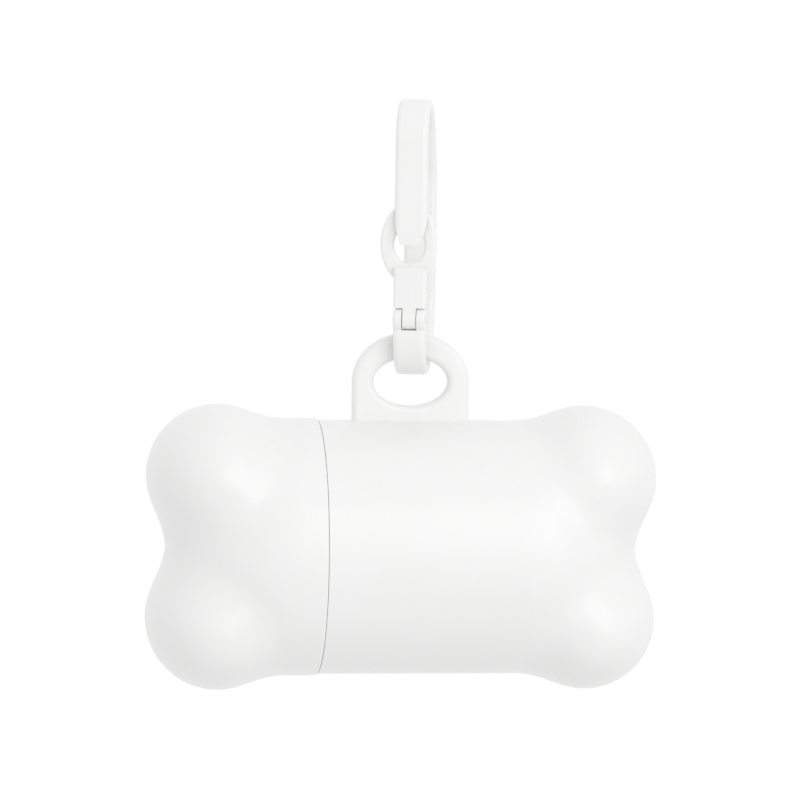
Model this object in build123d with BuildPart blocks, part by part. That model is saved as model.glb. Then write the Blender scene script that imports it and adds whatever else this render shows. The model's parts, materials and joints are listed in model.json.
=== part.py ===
"""A bone-shaped dispenser for rolled dog waste bags, hung from a snap clip.

Sizes are in millimetres. The origin is on the barrel's axis, midway between the bone's two ends.
+X runs along the bone from the cap to the closed end, the front faces -Y, and +Z points up
through the hanging loop and the clip. The bags leave through a slot in the back, at +Y.
"""

from build123d import *
from math import acos, atan2, ceil, cos, degrees, hypot, pi, radians, sin, sqrt, tan
import os

# ---------------------------------------------------------------- driving dimensions

# Bone: a round barrel whose domed ends each carry two lobes.
bone_length = 84.0
bone_height = 46.7
barrel_radius = 20.85
lobe_radius = 11.7
lobe_depth = 18.5  # half the lobe's size, front to back
notch_depth = 3.3  # from the lobes' tips to the dome between them
lobe_blend = 3.6  # how far the valleys beside the lobes are rounded over
wall = 1.8

# The bone's skin is lofted through rings of points.
ring_step = 2.2
ring_points = 32

# Seam between cap and body, and the neck that the cap pushes onto.
cap_length = 28.05  # from the bone's end to the seam
seam_gap = 0.06
cap_step = 0.25  # the cap's barrel stands this much proud of the body's
rim_round = 0.35
neck_length = 7.5
neck_wall = 1.5
neck_clearance = 0.20
neck_end_clearance = 0.5
cap_bore_relief = 0.15  # the straight bore for the neck stands this far outside the cap's cavity
neck_lead_in = 0.5
collar_length = 2.5  # the neck's bore runs this far inside the barrel
grip_rib_count = 6
grip_rib_radius = 0.6
grip_rib_clearance = 0.05
key_width = 3.0
key_height = 0.7  # above the neck
key_length = 5.0
key_clearance = 0.20

# Hanging loop on top of the barrel.
loop_x = 1.2
loop_width = 19.2
loop_thickness = 3.2
loop_height = 14.55  # above the barrel
loop_arch = 8.1  # the half-elliptical part of that height
eye_width = 12.3
eye_height = 7.9
eye_bar = 4.2  # what is left of the loop above the eye
loop_round = 1.0

# Slot for the bags.
slot_start = 2.45  # from the neck's collar
slot_stop = 0.85  # before the dome
slot_height = 3.6
slot_round = 0.5

# Refill: a card core with a roll of folded film bags.
core_radius = 6.0
core_wall = 1.2
core_overhang = 0.5
roll_room = 2.6  # the neck's bore over a full roll, on the radius
roll_end_clearance = 9.65  # from each end of the roll to the dome's inside
roll_x = -0.3
roll_clearance = 0.3
roll_fit = 0.05
film = 0.5
bag_side_clearance = 3.0
bag_wrap = 26.0  # degrees that the leading bag still lies along the roll
bag_tongue = 6.5  # what hangs out of the slot
bag_droop = 38.0  # degrees that the tongue turns down

# Snap clip. u is the clip's own width direction, from the gate side (-u) to the back.
clip_x = 1.45
clip_yaw = 12.2  # how far the clip is turned about the vertical
clip_height = 45.1
clip_near = 6.6  # from the hanging line to the outside of the gate limb
clip_far = 13.4  # from the hanging line to the outside of the back limb
clip_bar = 2.1
clip_width = 5.3
clip_round = 0.85
clip_near_corner = 7.0
clip_far_corner = 10.0
clip_bow_flat = 6.0  # how far the bottom bow runs before it slopes to the back limb
clip_bow_rise = 9.5
clip_top_flat = 7.0
clip_top_drop = 12.5
hang_clearance = 0.38  # between the eye's edge and the bow that carries it

# Gate, its pin and its spring.
pin_above_bow = 9.3
pin_radius = 0.6
pin_clearance = 0.05
pin_fit = 0.01
pin_recess = 0.3
boss_radius = 1.9
boss_round = 0.6
knuckle_radius = 1.65
knuckle_width = 2.2
gate_clearance = 0.3
fork_clearance = 0.12
nose_tip_above_pin = 12.2
nose_taper = 3.4
nose_tip_width = 3.3
nose_thickness = 1.15
pad_thickness = 1.6
pad_width = 9.2
pad_height = 13.2
pad_above_nose_tip = 0.2
pad_offset = -0.4
pad_round = 0.45
window_width = 5.1
window_height = 5.9
window_offset = 0.1  # from the pad's middle
window_drop = 0.3
arm_shoulder = 0.6  # from the arm's top to the window
arm_round = 0.5
spring_thickness = 0.3
spring_width = 1.6
spring_inboard = 2.2  # from the pin's axis to the leaf
spring_socket = 0.9
spring_reach = 5.0  # the leaf's tip above the pin
spring_tip_clearance = 0.1
spring_fit = 0.02

# ---------------------------------------------------------------- places worked out from them

lobe_x = bone_length / 2 - lobe_radius
lobe_z = bone_height / 2 - lobe_radius
cap_radius = barrel_radius + cap_step
seam_x = cap_length - bone_length / 2
cap_rim_x = seam_x - seam_gap
cap_bore = cap_radius - wall + cap_bore_relief
neck_radius = cap_bore - neck_clearance
neck_bore = neck_radius - neck_wall
neck_mouth_x = seam_x - neck_length
cavity_radius = barrel_radius - wall
cavity_x = seam_x + collar_length

loop_top = barrel_radius + loop_height
arch_z = loop_top - loop_arch
eye_z = loop_top - eye_bar - eye_height / 2

roll_radius = neck_bore - roll_room
roll_z = roll_radius + roll_clearance - neck_bore
roll_length = bone_length - 2 * (notch_depth + wall + roll_end_clearance)
slot_length = bone_length / 2 - notch_depth - barrel_radius - slot_stop - cavity_x - slot_start
slot_x = cavity_x + slot_start + slot_length / 2
bag_width = slot_length - 2 * bag_side_clearance

# The bottom bow's inner face, which the loop hangs on, lies under the eye's edge. The edge is
# taken where the bow's rounded side passes it, at the loop's own face.
yaw = radians(clip_yaw)
bow_reach = abs(clip_x - loop_x) + loop_thickness / 2 * tan(yaw) + clip_width / 2 - clip_round
eye_edge_z = eye_z + eye_height / 2 * sqrt(1 - (2 * bow_reach / eye_width) ** 2)
bow_z = eye_edge_z - hang_clearance
clip_bottom = bow_z - clip_bar
clip_top = clip_bottom + clip_height
near_outer = -clip_near
near_inner = near_outer + clip_bar
pin_u = near_outer + clip_bar / 2
pin_z = clip_bottom + pin_above_bow
nose_inner = near_outer + nose_thickness
nose_tip_z = pin_z + nose_tip_above_pin
pad_outer = nose_inner + gate_clearance
pad_z = nose_tip_z + pad_above_nose_tip
pad_top = pad_z + pad_height / 2
window_z = pad_z - window_drop
arm_top = window_z - window_height / 2 - arm_shoulder

# The clip from its side: x is u, and y is up.
clip_plane = Plane(
    origin=(clip_x, 0, 0),
    x_dir=(sin(yaw), cos(yaw), 0),
    z_dir=(cos(yaw), -sin(yaw), 0),
)
# The gate limb from in front: x runs across the clip, y is up, and +Z points to the viewer.
limb_plane = Plane(
    origin=clip_plane.origin,
    x_dir=clip_plane.z_dir,
    z_dir=-clip_plane.x_dir,
)
u_axis = Axis(clip_plane.origin, clip_plane.x_dir)

os.makedirs("parts", exist_ok=True)


# ---------------------------------------------------------------- bone shells


def blended(first, second):
    """The lesser of two distances, rounded over where they are less than lobe_blend apart."""
    near = max(lobe_blend - abs(first - second), 0) / lobe_blend
    return min(first, second) - near**2 * lobe_blend / 4


def skin_distance(x, y, z, dome_x, radius, inset):
    """How far a point lies outside the bone's skin, taken in by inset, and negative inside it.

    The skin is a barrel with a hemispherical end about (dome_x, 0, 0), blended with two
    ellipsoids, the lobes, one above the other.
    """
    distance = hypot(max(x - dome_x, 0), y, z) - (radius - inset)
    across = lobe_radius - inset
    along = lobe_depth - inset
    for side in (1, -1):
        forward = (x - lobe_x) / across
        sideways = y / along
        upward = (z - side * lobe_z) / across
        scaled = hypot(forward, sideways, upward)
        slope = hypot(forward / across, sideways / along, upward / across)
        distance = blended(distance, (scaled - 1) * scaled / slope)
    return distance


def bone_half(start, radius, inset):
    """The bone from x = start to its +X end, with every surface taken in by inset.

    Rings of points stand square to the barrel up to the dome's centre, then lean forward about
    it until they close on the axis, in even steps all the way.
    """
    dome_x = bone_length / 2 - notch_depth - radius

    def skin_point(x, lean, turn):
        """Where a ray from the axis at x meets the skin, turned about the axis from below."""
        aim_x, aim_y, aim_z = sin(lean), cos(lean) * sin(turn), -cos(lean) * cos(turn)
        inner, outer = 0, bone_length
        while outer - inner > 1e-9:
            middle = (inner + outer) / 2
            place = (x + middle * aim_x, middle * aim_y, middle * aim_z)
            if skin_distance(*place, dome_x, radius, inset) < 0:
                inner = middle
            else:
                outer = middle
        return place

    barrel_steps = ceil((dome_x - start) / ring_step)
    dome_steps = ceil(radius * pi / 2 / ring_step)
    rings = [(start + (dome_x - start) * k / barrel_steps, 0) for k in range(barrel_steps)]
    rings += [(dome_x, pi / 2 * k / dome_steps) for k in range(dome_steps)]
    sections = []
    for x, lean in rings:
        turns = [2 * pi * k / ring_points for k in range(ring_points)]
        points = [skin_point(x, lean, turn) for turn in turns]
        sections.append(Wire([Edge.make_spline(points, periodic=True)]))
    tip = Vertex(*skin_point(dome_x, pi / 2, 0))
    return Solid.make_loft(sections + [tip])


with BuildPart() as loop_blank:
    with BuildSketch(Plane(origin=(loop_x, 0, 0), x_dir=(1, 0, 0), z_dir=(0, -1, 0))):
        root = barrel_radius - wall / 2
        with BuildLine():
            Line((-loop_width / 2, root), (-loop_width / 2, arch_z))
            EllipticalCenterArc((0, arch_z), loop_width / 2, loop_arch, 0, arc_size=180)
            Line((loop_width / 2, arch_z), (loop_width / 2, root))
            Line((loop_width / 2, root), (-loop_width / 2, root))
        make_face()
        with Locations((0, eye_z)):
            Ellipse(eye_width / 2, eye_height / 2, mode=Mode.SUBTRACT)
    extrude(amount=loop_thickness / 2, both=True)
    fillet(loop_blank.faces().filter_by(Axis.Y).edges(), radius=loop_round)

with BuildPart() as main_body:
    add(bone_half(seam_x, barrel_radius, 0))
    # Neck, its grip ribs, and the key that turns the cap's lobes into line.
    with BuildSketch(Plane.YZ.offset(seam_x)):
        Circle(neck_radius)
    extrude(amount=-neck_length)
    chamfer(main_body.faces().sort_by(Axis.X)[0].edges(), length=neck_lead_in)
    with BuildSketch(Plane.YZ.offset(seam_x)):
        with PolarLocations(cap_bore - grip_rib_clearance - grip_rib_radius, grip_rib_count):
            Circle(grip_rib_radius)
    extrude(amount=-(neck_length - neck_wall))
    with BuildSketch(Plane.YZ.offset(seam_x)):
        with Locations((0, neck_bore + neck_wall / 2)):
            Rectangle(key_width, neck_wall / 2 + key_height, align=(Align.CENTER, Align.MIN))
    extrude(amount=-key_length)
    add(loop_blank.part)
    # The barrel is hollow, and steps in to the neck's bore behind the seam.
    add(bone_half(cavity_x, barrel_radius, wall), mode=Mode.SUBTRACT)
    with BuildSketch(Plane.YZ.offset(neck_mouth_x)):
        Circle(neck_bore)
    extrude(amount=cavity_x + wall - neck_mouth_x, mode=Mode.SUBTRACT)
    # Slot in the back.
    back_plane = Plane(origin=(slot_x, bone_height / 2, 0), x_dir=(1, 0, 0), z_dir=(0, 1, 0))
    with BuildSketch(back_plane):
        SlotOverall(slot_length, slot_height)
    extrude(amount=cavity_radius - bone_height / 2 - wall, mode=Mode.SUBTRACT)
    slot_rim = main_body.edges(Select.LAST).filter_by_position(
        Axis.Y, barrel_radius - wall / 3, bone_height / 2
    )
    fillet(slot_rim, radius=slot_round)
main_body.part.label = "main_body"
export_step(main_body.part, "parts/main_body.step")

with BuildPart() as end_cap:
    add(bone_half(-cap_rim_x, cap_radius, 0).mirror(Plane.YZ))
    add(bone_half(-cap_rim_x - wall, cap_radius, wall).mirror(Plane.YZ), mode=Mode.SUBTRACT)
    rim = end_cap.edges().filter_by_position(Axis.X, cap_rim_x - wall / 2, cap_rim_x)
    fillet(rim.sort_by(SortBy.LENGTH)[-1], radius=rim_round)
    # A straight bore for the neck, and the groove for its key.
    with BuildSketch(Plane.YZ.offset(seam_x)):
        Circle(cap_bore)
    extrude(amount=-(neck_length + neck_end_clearance), mode=Mode.SUBTRACT)
    with BuildSketch(Plane.YZ.offset(seam_x)):
        with Locations((0, neck_bore)):
            Rectangle(
                key_width + 2 * key_clearance,
                neck_wall + key_height + key_clearance,
                align=(Align.CENTER, Align.MIN),
            )
    extrude(amount=-(key_length + key_clearance), mode=Mode.SUBTRACT)
end_cap.part.label = "end_cap"
export_step(end_cap.part, "parts/end_cap.step")

# ---------------------------------------------------------------- refill

with BuildPart() as roll_core:
    with BuildSketch(Plane.YZ.offset(roll_x)):
        with Locations((0, roll_z)):
            Circle(core_radius)
            Circle(core_radius - core_wall, mode=Mode.SUBTRACT)
    extrude(amount=roll_length / 2 + core_overhang, both=True)
roll_core.part.label = "roll_core"
export_step(roll_core.part, "parts/roll_core.step")

with BuildPart() as bag_roll:
    with BuildSketch(Plane.YZ.offset(roll_x)):
        with Locations((0, roll_z)):
            Circle(roll_radius)
            Circle(core_radius + roll_fit, mode=Mode.SUBTRACT)
    extrude(amount=roll_length / 2, both=True)
bag_roll.part.label = "bag_roll"
export_step(bag_roll.part, "parts/bag_roll.step")

# The leading bag lies along the roll, leaves it on a tangent through the middle of the slot, and
# its end hangs outside.
wrap_radius = roll_radius + roll_clearance + film / 2
slot_middle = barrel_radius - wall / 2
slot_distance = hypot(slot_middle, roll_z)
tangent_angle = degrees(atan2(-roll_z, slot_middle) + acos(wrap_radius / slot_distance))
tangent_length = sqrt(slot_distance**2 - wrap_radius**2) + wall
with BuildPart() as lead_bag:
    with BuildSketch(Plane.YZ.offset(slot_x)):
        with BuildLine():
            wrapped = CenterArc((0, roll_z), wrap_radius, tangent_angle + bag_wrap, -bag_wrap)
            straight = Line(wrapped @ 1, wrapped @ 1 + tangent_length * (wrapped % 1))
            tongue_chord = bag_tongue * (straight % 1).rotate(Axis.Z, -bag_droop / 2)
            TangentArc(straight @ 1, straight @ 1 + tongue_chord, tangent=straight % 1)
        trace(line_width=film)
    extrude(amount=bag_width / 2, both=True)
lead_bag.part.label = "lead_bag"
export_step(lead_bag.part, "parts/lead_bag.step")

# ---------------------------------------------------------------- snap clip

with BuildPart() as pin_boss:
    with BuildSketch(clip_plane):
        with Locations((pin_u, pin_z)):
            Circle(boss_radius)
    extrude(amount=clip_width / 2, both=True)
    fillet(pin_boss.edges().filter_by(GeomType.CIRCLE), radius=boss_round)

# The leaf spring's foot stands in a socket in the bow's near corner.
spring_u = pin_u + spring_inboard
corner_u = near_outer + clip_near_corner
corner_z = clip_bottom + clip_near_corner
spring_root_z = corner_z - sqrt((clip_near_corner - clip_bar) ** 2 - (corner_u - spring_u) ** 2)
socket_z = spring_root_z - spring_socket

with BuildPart() as clip_hook:
    with BuildSketch(clip_plane):
        with BuildLine():
            FilletPolyline(
                (near_outer, clip_bottom),
                (clip_bow_flat, clip_bottom),
                (clip_far, clip_bottom + clip_bow_rise),
                (clip_far, clip_top - clip_top_drop),
                (clip_top_flat, clip_top),
                (near_outer, clip_top),
                close=True,
                radius=[
                    clip_near_corner,
                    clip_far_corner,
                    clip_far_corner,
                    clip_far_corner,
                    clip_far_corner,
                    clip_near_corner,
                ],
            )
        make_face()
        offset(amount=-clip_bar, kind=Kind.ARC, mode=Mode.SUBTRACT)
    extrude(amount=clip_width / 2, both=True)
    fillet(clip_hook.edges(), radius=clip_round)
    # The gate limb is cut away between the pin and the nose's tip, and a boss carries the pin.
    with BuildSketch(clip_plane):
        with Locations((pin_u, pin_z)):
            Rectangle(2 * clip_bar, nose_tip_above_pin, align=(Align.CENTER, Align.MIN))
    extrude(amount=clip_width, both=True, mode=Mode.SUBTRACT)
    add(pin_boss.part)
    with BuildSketch(clip_plane):
        with Locations((pin_u, pin_z)):
            Circle(knuckle_radius + gate_clearance)
    extrude(amount=knuckle_width / 2 + fork_clearance, both=True, mode=Mode.SUBTRACT)
    with BuildSketch(clip_plane):
        with Locations((pin_u, pin_z)):
            Circle(pin_radius + pin_fit)
    extrude(amount=clip_width, both=True, mode=Mode.SUBTRACT)
    # The nose is thinned on its inner side, where the pad lies behind it, and tapers to its tip.
    with BuildSketch(clip_plane):
        with Locations((nose_inner, nose_tip_z)):
            Rectangle(
                clip_bar,
                pad_top + gate_clearance - nose_tip_z,
                align=(Align.MIN, Align.MIN),
            )
    extrude(amount=clip_width, both=True, mode=Mode.SUBTRACT)
    with BuildSketch(limb_plane):
        for side in (1, -1):
            with BuildLine():
                Polyline(
                    (side * nose_tip_width / 2, nose_tip_z),
                    (side * clip_width / 2, nose_tip_z + nose_taper),
                    (side * clip_width, nose_tip_z + nose_taper),
                    (side * clip_width, nose_tip_z),
                    close=True,
                )
            make_face()
    extrude(amount=2 * clip_near, mode=Mode.SUBTRACT)
    with BuildSketch(clip_plane):
        with Locations((spring_u, socket_z)):
            Rectangle(
                spring_thickness + 2 * spring_fit,
                2 * spring_socket,
                align=(Align.CENTER, Align.MIN),
            )
    extrude(amount=spring_width / 2 + spring_fit, both=True, mode=Mode.SUBTRACT)
clip_hook.part.label = "clip_hook"
export_step(clip_hook.part, "parts/clip_hook.step")

with BuildPart() as clip_gate:
    # Thumb pad, which lies behind the nose.
    with BuildSketch(limb_plane.offset(-pad_outer)):
        with Locations((pad_offset, pad_z)):
            Ellipse(pad_width / 2, pad_height / 2)
        with Locations((pad_offset + window_offset, window_z)):
            Ellipse(window_width / 2, window_height / 2, mode=Mode.SUBTRACT)
    extrude(amount=-pad_thickness)
    fillet(clip_gate.edges(), radius=pad_round)
    # Arm, in line with the gate limb below it.
    with BuildSketch(limb_plane.offset(clip_near)):
        with Locations((0, pin_z)):
            Rectangle(clip_width, arm_top - pin_z, align=(Align.CENTER, Align.MIN))
    extrude(amount=-clip_bar)
    fillet(clip_gate.edges(Select.LAST).group_by(u_axis)[0], radius=arm_round)
    # The arm's foot clears the boss, and its knuckle turns between the boss's cheeks.
    with BuildSketch(clip_plane):
        with Locations((pin_u, pin_z)):
            Circle(boss_radius + gate_clearance)
    extrude(amount=clip_width, both=True, mode=Mode.SUBTRACT)
    with BuildSketch(clip_plane):
        with Locations((pin_u, pin_z)):
            Circle(knuckle_radius)
            Rectangle(clip_bar, boss_radius + 2 * gate_clearance, align=(Align.CENTER, Align.MIN))
            Circle(pin_radius + pin_clearance, mode=Mode.SUBTRACT)
    extrude(amount=knuckle_width / 2, both=True)
clip_gate.part.label = "clip_gate"
export_step(clip_gate.part, "parts/clip_gate.step")

with BuildPart() as gate_pin:
    with BuildSketch(clip_plane):
        with Locations((pin_u, pin_z)):
            Circle(pin_radius)
    extrude(amount=clip_width / 2 - pin_recess, both=True)
gate_pin.part.label = "gate_pin"
export_step(gate_pin.part, "parts/gate_pin.step")

with BuildPart() as gate_spring:
    with BuildSketch(clip_plane):
        spring_tip_u = near_inner + spring_tip_clearance + spring_thickness / 2
        with BuildLine():
            Polyline(
                (spring_u, socket_z),
                (spring_u, pin_z),
                (spring_tip_u, pin_z + spring_reach),
            )
        trace(line_width=spring_thickness)
    extrude(amount=spring_width / 2, both=True)
gate_spring.part.label = "gate_spring"
export_step(gate_spring.part, "parts/gate_spring.step")
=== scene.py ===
"""A bone-shaped dispenser for waste bags, hung from its snap clip.

Lengths are in metres, in the frame of the solids: +X runs along the bone from the cap to the
closed end, the front faces -Y, and +Z points up through the loop and the clip.
"""

import json
import math

import bmesh
import bpy
import numpy as np
from mathutils import Matrix, Vector


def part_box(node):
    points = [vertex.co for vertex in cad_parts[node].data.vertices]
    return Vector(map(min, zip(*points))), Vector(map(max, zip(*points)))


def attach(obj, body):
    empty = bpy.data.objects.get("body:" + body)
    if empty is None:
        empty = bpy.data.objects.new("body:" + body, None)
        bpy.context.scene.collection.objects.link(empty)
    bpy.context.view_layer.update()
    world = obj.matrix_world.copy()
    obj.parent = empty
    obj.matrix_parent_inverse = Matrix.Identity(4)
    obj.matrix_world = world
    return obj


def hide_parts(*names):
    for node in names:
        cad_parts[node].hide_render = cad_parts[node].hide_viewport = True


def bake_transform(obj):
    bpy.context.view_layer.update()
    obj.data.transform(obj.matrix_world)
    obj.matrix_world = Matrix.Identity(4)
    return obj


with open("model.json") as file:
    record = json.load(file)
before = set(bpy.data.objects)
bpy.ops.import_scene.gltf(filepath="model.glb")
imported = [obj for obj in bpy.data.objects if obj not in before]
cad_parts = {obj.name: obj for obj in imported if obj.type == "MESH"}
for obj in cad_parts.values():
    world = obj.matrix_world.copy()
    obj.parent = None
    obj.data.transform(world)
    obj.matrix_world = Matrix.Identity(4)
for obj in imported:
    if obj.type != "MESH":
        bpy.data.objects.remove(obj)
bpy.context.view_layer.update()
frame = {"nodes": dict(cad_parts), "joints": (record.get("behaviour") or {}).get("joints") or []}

nodes = frame["nodes"]
mm = 0.001


# ---------------------------------------------------------------- case
# The bone is two injection mouldings in white polypropylene: a body with the hanging loop and a
# neck, and a cap that pushes onto the neck. Their faces are satin, straight from the mould, with
# a faint parting line, a trace of flow mottling and the hairlines that a pocket leaves.

relief = 0.02 * mm  # the bump's distance for a height of 1
grain_height = 0.6
hairline_depth = 0.4
flash_reach = 0.12 * mm  # from the plane y = 0 to where the parting line fades out


class Wire:
    """An output in a tree of nodes. Arithmetic on it adds Math nodes to that tree."""

    def __init__(self, tree, socket=None):
        self.tree = tree
        self.socket = socket

    def node(self, kind, inputs=(), output=0, stops=(), **settings):
        """Add a node, with its settings and ramp stops first, then its sockets' values or links."""
        made = self.tree.nodes.new(kind)
        for name, value in settings.items():
            setattr(made, name, value)
        for place, (position, colour) in enumerate(stops):
            elements = made.color_ramp.elements
            element = elements[place] if place < len(elements) else elements.new(position)
            element.position = position
            element.color = colour
        for key, value in dict(inputs).items():
            if isinstance(value, Wire):
                self.tree.links.new(value.socket, made.inputs[key])
            else:
                made.inputs[key].default_value = value
        return Wire(self.tree, made.outputs[output] if len(made.outputs) else None)

    def calculate(self, operation, first, second):
        return self.node("ShaderNodeMath", {0: first, 1: second}, operation=operation)

    def __add__(self, other):
        return self.calculate("ADD", self, other)

    def __radd__(self, other):
        return self.calculate("ADD", other, self)

    def __sub__(self, other):
        return self.calculate("SUBTRACT", self, other)

    def __mul__(self, other):
        return self.calculate("MULTIPLY", self, other)

    def __rmul__(self, other):
        return self.calculate("MULTIPLY", other, self)

    def or_larger(self, other):
        return self.calculate("MAXIMUM", self, other)


def first_wire(owner):
    """Clear the nodes of a material or a world, and give the Wire that new ones start from."""
    owner.use_nodes = True
    owner.node_tree.nodes.clear()
    return Wire(owner.node_tree)


def new_material(name):
    """A material with no nodes yet: the Wire that they start from, and what finishes it."""
    material = bpy.data.materials.new(name)
    start = first_wire(material)

    def finish(**sockets):
        inputs = {key.replace("_", " "): value for key, value in sockets.items()}
        shader = start.node("ShaderNodeBsdfPrincipled", inputs)
        start.node("ShaderNodeOutputMaterial", {"Surface": shader})
        return material

    return start, finish


def dress(name, material):
    """Give a solid of the frame its material."""
    nodes[name].data.materials.clear()
    nodes[name].data.materials.append(material)


def white_moulding(name, warm, cool, roughness, flash_height):
    """Satin white plastic: two near whites in soft clouds, fine grain, and sparse hairlines.

    A fine line stands up by flash_height in the plane y = 0, where the mould's halves met. It
    is a height like the grain's, of which relief gives the scale.
    """
    start, finish = new_material(name)
    place = start.node("ShaderNodeTexCoord", output="Object")
    clouds = start.node("ShaderNodeTexNoise", {"Vector": place, "Scale": 60.0, "Detail": 3.0})
    grain = start.node("ShaderNodeTexNoise", {"Vector": place, "Scale": 3500.0, "Detail": 2.0})
    drawn_out = start.node("ShaderNodeMapping", {"Vector": place, "Rotation": (0.3, 0.5, 0.7),
                                                 "Scale": (40.0, 900.0, 900.0)})
    streaks = start.node("ShaderNodeTexNoise", {"Vector": drawn_out, "Scale": 1.0, "Detail": 2.0})
    hairline = start.node("ShaderNodeValToRGB", {"Fac": streaks},
                          stops=[(0.66, (0, 0, 0, 1)), (0.72, (1, 1, 1, 1))])
    tint = start.node("ShaderNodeValToRGB", {"Fac": clouds}, stops=[(0.3, warm), (0.7, cool)])
    y = start.node("ShaderNodeSeparateXYZ", {"Vector": place}, output="Y")
    flash = start.node("ShaderNodeMapRange", {"Value": y * y, "From Max": flash_reach**2,
                                              "To Min": flash_height, "To Max": 0.0})
    height = grain * grain_height - hairline * hairline_depth + flash
    bump = start.node("ShaderNodeBump", {"Height": height, "Strength": 0.08, "Distance": relief})
    return finish(Base_Color=tint, Roughness=roughness + 0.05 * clouds + 0.06 * hairline,
                  IOR=1.49, Normal=bump)


case_white = white_moulding("case_white", warm=(0.895, 0.895, 0.888, 1),
                            cool=(0.91, 0.91, 0.907, 1), roughness=0.27, flash_height=9.0)
dress("main_body", case_white)
dress("end_cap", case_white)


# ---------------------------------------------------------------- clip
# Hook and gate are moulded in the same white plastic, a little glossier, with rounded edges all
# round. The gate turns on a cut steel pin pressed through the hook's cheeks.

clip_white = white_moulding("clip_white", warm=(0.9, 0.9, 0.893, 1),
                            cool=(0.915, 0.915, 0.912, 1), roughness=0.22, flash_height=0.0)
dress("clip_hook", clip_white)
dress("clip_gate", clip_white)


def drawn_steel(name):
    """Bare steel wire and strip: fine draw marks along it, and dull patches from handling."""
    start, finish = new_material(name)
    place = start.node("ShaderNodeTexCoord", output="Object")
    marks = start.node("ShaderNodeMapping", {"Vector": place, "Scale": (6000.0, 6000.0, 300.0)})
    drawn = start.node("ShaderNodeTexNoise", {"Vector": marks, "Scale": 1.0, "Detail": 3.0})
    dull = start.node("ShaderNodeTexNoise", {"Vector": place, "Scale": 700.0, "Detail": 2.0})
    tint = start.node("ShaderNodeValToRGB", {"Fac": dull},
                      stops=[(0.35, (0.5, 0.5, 0.5, 1)), (0.65, (0.64, 0.64, 0.65, 1))])
    bump = start.node("ShaderNodeBump", {"Height": drawn, "Strength": 0.3,
                                         "Distance": 0.01 * mm})
    return finish(Base_Color=tint, Metallic=1.0, Roughness=0.25 + 0.2 * dull, Normal=bump)


steel = drawn_steel("gate_steel")
dress("gate_pin", steel)


# ---------------------------------------------------------------- gate spring
# A leaf of spring steel stands in a socket in the hook's bottom bow and leans on the closed gate.


def new_object(name, data):
    """An object in the scene that shows a mesh, a lamp's light or a camera."""
    made = bpy.data.objects.new(name, data)
    bpy.context.scene.collection.objects.link(made)
    return made


def new_piece(name, rings, material, round_trip=False):
    """A smooth closed mesh through rings of points, with its material.

    Neighbouring rings are joined by quads. The last ring joins the first on a round trip, and
    otherwise one face closes each end.
    """
    count, around = rings.shape[:2]
    index = np.arange(count * around).reshape(count, around)
    if round_trip:
        index = np.vstack([index, index[:1]])
    after = np.roll(index, -1, axis=1)
    corners = (index[:-1], index[1:], after[1:], after[:-1])
    faces = np.stack([corner.ravel() for corner in corners], axis=1).tolist()
    if not round_trip:
        faces += [index[0].tolist(), index[-1].tolist()]
    mesh = bpy.data.meshes.new(name)
    mesh.from_pydata(rings.reshape(-1, 3).tolist(), [], faces)
    shape = bmesh.new()
    shape.from_mesh(mesh)
    bmesh.ops.recalc_face_normals(shape, faces=shape.faces)
    shape.to_mesh(mesh)
    shape.free()
    mesh.polygons.foreach_set("use_smooth", np.ones(len(mesh.polygons), bool))
    mesh.materials.append(material)
    piece = new_object(name, mesh)
    return piece


joints = {joint["name"]: joint for joint in frame["joints"]}
pin_place = np.array(joints["gate_swing"]["pos_m"])
pin_way = np.array(joints["gate_swing"]["axis"])
up = np.array((0.0, 0.0, 1.0))
inward = np.cross(pin_way, up)  # from the gate to the clip's inside

leaf_thickness = 0.3 * mm
leaf_width = 1.6 * mm
leaf_stand = 2.2 * mm  # from the pin to the leaf's upright part
leaf_tip_stand = 1.3 * mm  # the same, at the tip that touches the gate
leaf_top = 5.0 * mm  # the tip above the pin
leaf_foot_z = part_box("gate_spring")[0].z


def spring_leaf(rings, corners):
    """A strip carried up a line that is upright as far as the pin and then leans to the gate.

    At a share p of the way from the pin to the tip, the line has come p^2 (3 - p) / 2 of the way
    from leaf_stand to leaf_tip_stand, which is how a leaf bends under a load at its tip. The
    section is the superellipse |x/a|^4 + |y/b|^4 = 1, a strip with rounded edges.
    """
    height = np.linspace(leaf_foot_z, pin_place[2] + leaf_top, rings)[:, None, None]
    past = np.clip((height - pin_place[2]) / leaf_top, 0, 1)
    stand = leaf_stand - (leaf_stand - leaf_tip_stand) * past**2 * (3 - past) / 2
    turn = np.linspace(0, 2 * np.pi, corners, endpoint=False)[None, :, None]
    reach = (np.abs(np.cos(turn)) ** 4 + np.abs(np.sin(turn)) ** 4) ** -0.25
    thick = stand + leaf_thickness / 2 * np.cos(turn) * reach
    wide = leaf_width / 2 * np.sin(turn) * reach
    return pin_place * (1, 1, 0) + thick * inward + wide * pin_way + height * up


leaf = new_piece("gate_leaf", spring_leaf(rings=60, corners=32), steel)
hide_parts("gate_spring")
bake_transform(leaf)


# ---------------------------------------------------------------- roll of bags
# A refill is one long strip of black film bags, folded flat and wound tightly on a card tube.
# The film is embossed and slippery, its layers show as fine ridges at the ends, and the card is
# grey-brown and fibrous.


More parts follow.
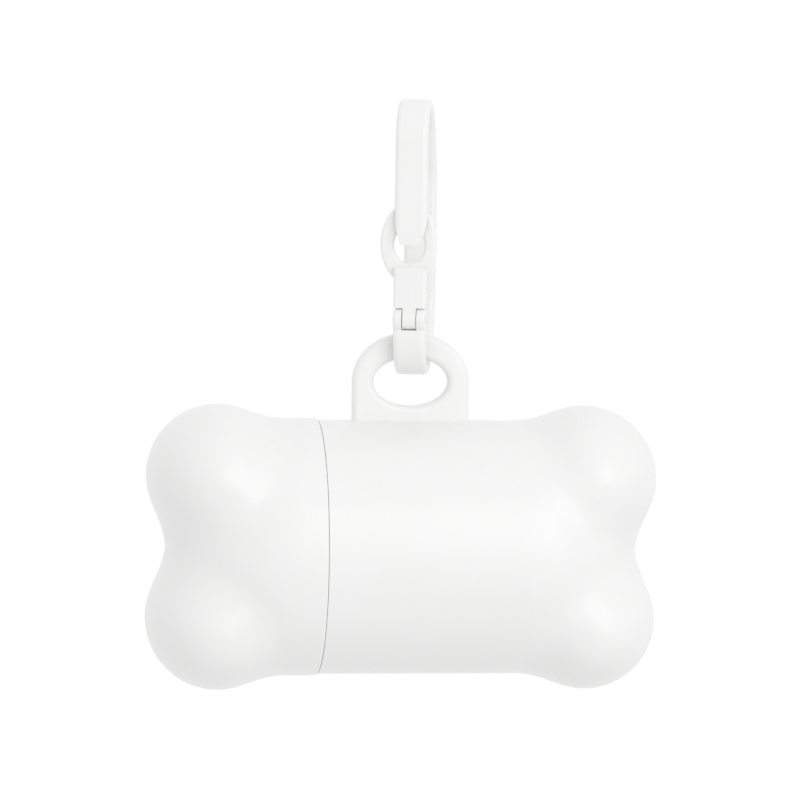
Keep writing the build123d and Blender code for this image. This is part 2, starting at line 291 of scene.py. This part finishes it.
def bag_film(name, crinkle):
    """Thin black film: soft sheen, an embossed grain, and fine crinkles of a given strength."""
    start, finish = new_material(name)
    place = start.node("ShaderNodeTexCoord", output="Object")
    emboss = start.node("ShaderNodeTexVoronoi", {"Vector": place, "Scale": 1400.0},
                        output="Distance")
    along = start.node("ShaderNodeMapping", {"Vector": place, "Scale": (90.0, 500.0, 500.0)})
    creases = start.node("ShaderNodeTexNoise", {"Vector": along, "Scale": 1.0, "Detail": 4.0})
    dust = start.node("ShaderNodeTexNoise", {"Vector": place, "Scale": 250.0, "Detail": 3.0})
    tint = start.node("ShaderNodeValToRGB", {"Fac": dust},
                      stops=[(0.3, (0.012, 0.012, 0.014, 1)), (0.8, (0.03, 0.03, 0.034, 1))])
    bump = start.node("ShaderNodeBump", {"Height": creases + 0.25 * emboss,
                                         "Strength": crinkle, "Distance": 0.2 * mm})
    return finish(Base_Color=tint, Roughness=0.30 + 0.14 * dust, IOR=1.5, Normal=bump)


def card(name):
    """Grey-brown card: soft fibres that run along the tube, in two browns."""
    start, finish = new_material(name)
    place = start.node("ShaderNodeTexCoord", output="Object")
    fibres = start.node("ShaderNodeMapping", {"Vector": place, "Scale": (500.0, 2200.0, 2200.0)})
    pulp = start.node("ShaderNodeTexNoise", {"Vector": fibres, "Scale": 1.0, "Detail": 5.0})
    tint = start.node("ShaderNodeValToRGB", {"Fac": pulp},
                      stops=[(0.3, (0.33, 0.24, 0.15, 1)), (0.7, (0.47, 0.36, 0.24, 1))])
    bump = start.node("ShaderNodeBump", {"Height": pulp, "Strength": 0.5,
                                         "Distance": 0.08 * mm})
    return finish(Base_Color=tint, Roughness=0.85 + 0.1 * pulp, Normal=bump)


dress("roll_core", card("core_card"))
film = bag_film("bag_film", crinkle=0.8)

roll_low, roll_high = (np.array(corner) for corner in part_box("bag_roll"))
roll_middle = (roll_low + roll_high) / 2
roll_half = (roll_high[0] - roll_low[0]) / 2
roll_radius = (roll_high[2] - roll_low[2]) / 2
bore_radius = 6.08 * mm  # just clear of the card tube, which is 12 mm across
layer_pitch = 0.75 * mm  # between ridges, each a bundle of film layers
layer_depth = 0.35 * mm  # how far the ends' ridges and slips go in
outer_dip = 0.25 * mm  # how far the outside dips at most


def wound_roll(around, along, across):
    """The strip wound on its core: a round roll with ridged ends.

    At an angle a, and at a share s of half the length, the outside dips by
    outer_dip (2 + sin(5 a + 2 s) + sin(11 a - 7 s)) / 4. Each end stands back from the roll's
    length by layer_depth (0.7 ridge + 0.3 shift). ridge = (1 + cos(2 pi r / layer_pitch - a)) / 2
    makes one spiral, and shift = (1 + sin(3 a + r)) / 2, with r in mm, is how layers slip.
    """
    turn = np.linspace(0, 1, around, endpoint=False)[None, :]
    angle = 2 * np.pi * turn
    share = np.linspace(-1, 1, along)[:, None]
    dip = outer_dip * (2 + np.sin(5 * angle + 2 * share) + np.sin(11 * angle - 7 * share)) / 4
    outside_x = np.broadcast_to(share * (roll_half - layer_depth), dip.shape)
    outside_r = roll_radius - dip
    step = np.linspace(0, 1, across)[:, None]
    inwards_r = (roll_radius - outer_dip) * (1 - step) + bore_radius * step
    ridge = (1 + np.cos(2 * np.pi * (inwards_r / layer_pitch - turn))) / 2
    shift = (1 + np.sin(3 * angle + inwards_r / mm)) / 2
    end_x = roll_half - layer_depth * (0.7 * ridge + 0.3 * shift)
    end_r = np.broadcast_to(inwards_r, end_x.shape)
    x = np.vstack([outside_x, end_x, -end_x[::-1]])
    r = np.vstack([outside_r, end_r, end_r[::-1]])
    points = np.stack([x, r * np.sin(angle), r * np.cos(angle)], axis=-1)
    return points + roll_middle


roll = new_piece("film_roll", wound_roll(around=240, along=60, across=84), film,
                 round_trip=True)
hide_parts("bag_roll")
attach(roll, "roll")


# ---------------------------------------------------------------- leading bag
# The free end of the strip lies along the roll, leaves through the slot in the back and hangs
# over its lower edge. It is folded in pleats, which open a little outside the slot.

bag_low, bag_high = (np.array(corner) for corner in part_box("lead_bag"))
bag_half = (bag_high[0] - bag_low[0]) / 2
bag_x = (bag_high[0] + bag_low[0]) / 2
film_offset = 0.55 * mm  # from the roll to the middle of the strip
barrel_middle = 19.95 * mm  # from the bone's axis to the middle of the wall, where the slot is
barrel_wall = 1.8 * mm
bag_wrap = math.radians(26)  # the arc that lies along the roll
bag_droop = math.radians(38)  # what the strip turns down by, outside the slot
bag_tongue = 6.5 * mm  # from the slot to the tip, measured straight
strip_thickness = 0.14 * mm
strip_taper = 0.04  # the share of its width that the strip draws in by, outside
ripple_start = 0.7  # the share of the strip where ripples begin to grow, just before the slot
ripple_inside = 0.03 * mm
ripple_growth = 0.5 * mm  # what the ripples gain by the tip
pleat_wave = 4.3 * mm  # from one pleat to the next
tooth = 0.55 * mm  # half the pitch of the torn perforation
tooth_depth = 0.35 * mm
tear_depth = 0.5 * mm  # of the slow wave that the tear follows

wrap_radius = roll_radius + film_offset
slot_distance = math.hypot(barrel_middle, roll_middle[2])
leave_angle = (math.atan2(-roll_middle[2], barrel_middle)
               + math.acos(wrap_radius / slot_distance))
straight_length = math.sqrt(slot_distance**2 - wrap_radius**2) + barrel_wall
droop_radius = bag_tongue / (2 * math.sin(bag_droop / 2))
strip_length = wrap_radius * bag_wrap + straight_length + droop_radius * bag_droop


def strip_line(s):
    """Place and outward normal, in Y and Z, at a length s along the strip.

    The line is an arc about the roll, then its tangent through the slot, then an arc that turns
    down. Where it heads at an angle h from +Y towards +Z, the normal is (-sin h, cos h).
    """
    wrap = wrap_radius * bag_wrap
    around = np.clip(s, 0, wrap) / wrap_radius
    forward = np.clip(s - wrap, 0, straight_length)
    bent = np.clip(s - wrap - straight_length, 0, None) / droop_radius
    roll_angle = leave_angle + bag_wrap - around
    slot_heading = leave_angle - np.pi / 2
    tip_heading = slot_heading - bent
    y = wrap_radius * np.cos(roll_angle) + forward * np.cos(slot_heading)
    z = roll_middle[2] + wrap_radius * np.sin(roll_angle) + forward * np.sin(slot_heading)
    y = y + droop_radius * (np.sin(slot_heading) - np.sin(tip_heading))
    z = z + droop_radius * (np.cos(tip_heading) - np.cos(slot_heading))
    heading = np.where(bent > 0, tip_heading, roll_angle - np.pi / 2)
    return y, z, -np.sin(heading), np.cos(heading)


def folded_strip(rings, points):
    """The strip's two faces, rippled across its width by an uneven wave that grows to the tip.

    Round each ring the first half of the points runs across one face, and the rest comes back
    on the other, so that the ring is a flat closed loop strip_thickness deep. At a share s of
    the length and u of half the width, where x = u bag_half, the faces are rippled by
    ripple (0.55 + 0.45 sin(3.7 u + 1.2)) sin(2 pi x / pleat_wave + 2 s). The tip is torn: small
    teeth of a perforation, on a slow wave across the width.
    """
    s = np.linspace(0, 1, rings)[:, None]
    side = np.linspace(0, 1, points, endpoint=False)[None, :]
    across = 2 * np.abs(2 * side - 1) - 1
    deep = strip_thickness / 2 * np.sign(side - 0.5) * (1 - across**8)
    teeth = np.abs(((across * bag_half / tooth) % 2) - 1)
    short = tooth_depth * teeth + tear_depth * np.sin(2.1 * across + 0.6) ** 2
    torn = 1 - short / strip_length * s**8
    y, z, normal_y, normal_z = strip_line(s * torn * strip_length)
    outside = np.clip((s - ripple_start) / (1 - ripple_start), 0, 1)
    ripple = ripple_inside + ripple_growth * outside**2
    uneven = 0.55 + 0.45 * np.sin(3.7 * across + 1.2)
    wave = ripple * uneven * np.sin(2 * np.pi * across * bag_half / pleat_wave + 2 * s) + deep
    x = bag_x + across * bag_half * (1 - strip_taper * outside * np.sin(3 * s))
    return np.stack([x, y + wave * normal_y, z + wave * normal_z], axis=-1)


strip = new_piece("lead_strip", folded_strip(rings=120, points=320), film)
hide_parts("lead_bag")
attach(strip, "case")


# ---------------------------------------------------------------- studio
# A white floor below the hanging part and a white surround, a wide soft lamp to the right of
# the camera, and the camera at the photograph's angle.

floor_z = -0.40  # well below, because the part hangs
floor_size = 8.0
floor_grey = 0.85
floor_glow = 1.03
floor_glow_share = 0.94  # of what the camera sees of the floor; the rest is the matt floor
surround_level = 0.86  # as a light; the camera sees the surround as 1

lamp_place = Vector((0.32, -0.78, 0.30))
lamp_aim = Vector((0, 0, 0.02))
lamp_size = 0.7
lamp_power = 1.75  # watts

camera_azimuth = -7.0  # to the left of straight in front
camera_elevation = 4.5
camera_roll = 0.8
camera_distance = 0.715
camera_aim = Vector((-0.45 * mm, 0.0, 24.2 * mm))


def seen_as_background(start):
    """1 for a ray from the camera, or from a shiny or clear surface, and 0 for any other."""
    camera, shiny, clear = (start.node("ShaderNodeLightPath", output=f"Is {kind} Ray")
                            for kind in ("Camera", "Glossy", "Transmission"))
    return camera.or_larger(shiny).or_larger(clear)


edge = floor_size / 2
floor_mesh = bpy.data.meshes.new("floor")
floor_mesh.from_pydata([(-edge, -edge, floor_z), (edge, -edge, floor_z),
                        (edge, edge, floor_z), (-edge, edge, floor_z)], [], [(0, 1, 2, 3)])
floor = new_object("floor", floor_mesh)
floor_material = bpy.data.materials.new("floor_white")
start = first_wire(floor_material)
matt = start.node("ShaderNodeBsdfDiffuse", {"Color": (floor_grey, floor_grey, floor_grey, 1)})
bright = start.node("ShaderNodeEmission", {"Color": (1, 1, 1, 1), "Strength": floor_glow})
mixed = start.node("ShaderNodeMixShader", {0: seen_as_background(start) * floor_glow_share,
                                           1: matt, 2: bright})
start.node("ShaderNodeOutputMaterial", {"Surface": mixed})
floor_mesh.materials.append(floor_material)

world = bpy.data.worlds.new("surround")
start = first_wire(world)
level = surround_level + (1 - surround_level) * seen_as_background(start)
surround = start.node("ShaderNodeBackground", {"Color": (1, 1, 1, 1), "Strength": level})
start.node("ShaderNodeOutputWorld", {"Surface": surround})
bpy.context.scene.world = world

light = bpy.data.lights.new("key", "AREA")
light.size = lamp_size
light.energy = lamp_power
lamp = new_object("key", light)
lamp.location = lamp_place
lamp.rotation_euler = (lamp_aim - lamp_place).to_track_quat("-Z", "Y").to_euler()

camera = bpy.data.cameras.new("camera")
camera.lens = 196
camera.sensor_width = 36
camera.clip_start = 0.01
azimuth, elevation = math.radians(camera_azimuth), math.radians(camera_elevation)
back = Vector((math.sin(azimuth) * math.cos(elevation),
               -math.cos(azimuth) * math.cos(elevation), math.sin(elevation)))
level_view = (-back).to_track_quat("-Z", "Y").to_matrix().to_4x4()
view_roll = Matrix.Rotation(math.radians(camera_roll), 4, "Z")
viewer = new_object("camera", camera)
viewer.location = camera_aim + camera_distance * back
viewer.rotation_euler = (level_view @ view_roll).to_euler()
bpy.context.scene.camera = viewer
bpy.context.scene.view_settings.view_transform = "Standard"
